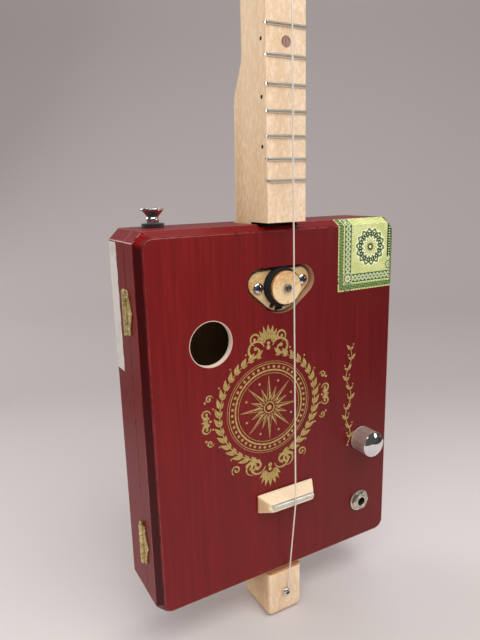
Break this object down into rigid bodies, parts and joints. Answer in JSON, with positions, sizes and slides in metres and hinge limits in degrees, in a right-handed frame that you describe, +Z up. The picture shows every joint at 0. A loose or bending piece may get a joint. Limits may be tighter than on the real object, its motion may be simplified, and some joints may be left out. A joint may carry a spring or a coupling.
{
  "type": "cigar box guitar",
  "caption": "Electric cigar box guitar: red lacquered hinged box, fretted maple neck, wooden bridge with a steel saddle rod, pickup, volume knob, output jack and strap button.",
  "frame": {"origin": "centre of the tail's end face, the lowest face of the instrument stood upright", "axes": "+Z up the neck towards the head, -Y out of the lid towards the player's picking hand, +X towards the knob side"},
  "size_m": [0.192, 0.0661, 0.8387],
  "materials": {
    "maple": "clear satin lacquer over pale maple",
    "red_lacquer": "deep red stain under gloss lacquer",
    "chrome": "polished",
    "nickel": "dull nickel plate",
    "steel": "bright drawn steel",
    "old_brass": "antiqued, darkened in the recesses",
    "bone": "polished bone-coloured plastic",
    "cloth_tape": "black cotton tape",
    "felt": "black felt",
    "ferrite": "dark sintered ferrite",
    "lead_jacket": "grey jacket",
    "gilt_print": "gold ink printed under the lacquer",
    "printed_paper": "thin glued paper, matt"
  },
  "bodies": {
    "guitar": {"lid_panel": "red_lacquer", "lid_rim": "red_lacquer", "neck": "maple", "bridge": "maple", "pickup_base": "maple", "pickup_cap": "maple", "pickup_carrier": "maple", "fret_01": "nickel", "fret_02": "nickel", "fret_03": "nickel", "fret_04": "nickel", "fret_05": "nickel", "fret_06": "nickel", "fret_07": "nickel", "fret_08": "nickel", "fret_09": "nickel", "fret_10": "nickel", "fret_11": "nickel", "fret_12": "nickel", "fret_13": "nickel", "fret_14": "nickel", "fret_15": "nickel", "fret_16": "nickel", "fret_17": "nickel", "fret_18": "nickel", "fret_19": "nickel", "fret_20": "nickel", "pot_body": "nickel", "pot_nut": "nickel", "jack_body": "nickel", "jack_nut": "nickel", "tuner_plate": "nickel", "nut": "bone", "string": "steel", "saddle_rod": "steel", "pickup_pole_screw": "steel", "tail_screw": "chrome", "pickup_screw_left": "chrome", "pickup_screw_right": "chrome", "tuner_bushing": "chrome", "hinge_lower_lid_leaf": "old_brass", "hinge_lower_pin": "old_brass", "hinge_upper_lid_leaf": "old_brass", "hinge_upper_pin": "old_brass", "pickup_coil": "cloth_tape", "pickup_magnet": "ferrite", "pickup_lead": "lead_jacket", "jack_lead": "lead_jacket"},
    "tray": {"tray_frame": "red_lacquer", "back_panel": "red_lacquer", "hinge_lower_tray_leaf": "old_brass", "hinge_upper_tray_leaf": "old_brass", "strap_button": "chrome", "strap_felt": "felt", "strap_screw": "chrome"},
    "knob": {"volume_knob": "chrome", "pot_shaft": "nickel"},
    "tuner_key": {"tuner_key": "chrome"},
    "tuner_post": {"tuner_post": "chrome", "tuner_gear": "old_brass"}
  },
  "joints": [
    {"name": "tray_hinge", "type": "hinge", "parent": "guitar", "child": "tray", "pos_m": [-0.0961, 0.0028, 0.1563], "axis": [0, 0, 1], "range_deg": [0, 110]},
    {"name": "knob_turn", "type": "hinge", "parent": "guitar", "child": "knob", "pos_m": [0.0663, -0.018, 0.1198], "axis": [0, 1, 0], "range_deg": [-150, 150]},
    {"name": "tuner_key_turn", "type": "hinge", "parent": "guitar", "child": "tuner_key", "pos_m": [-0.00365, 0.00545, 0.78469], "axis": [1, 0, 0], "continuous": true},
    {"name": "tuner_post_turn", "type": "hinge", "parent": "guitar", "child": "tuner_post", "pos_m": [-0.00365, 0.00545, 0.79469], "axis": [0, 1, 0], "continuous": true}
  ],
  "couplings": [
    {"joint": "tuner_post_turn", "follows": "tuner_key_turn", "ratio": -0.071429}
  ]
}
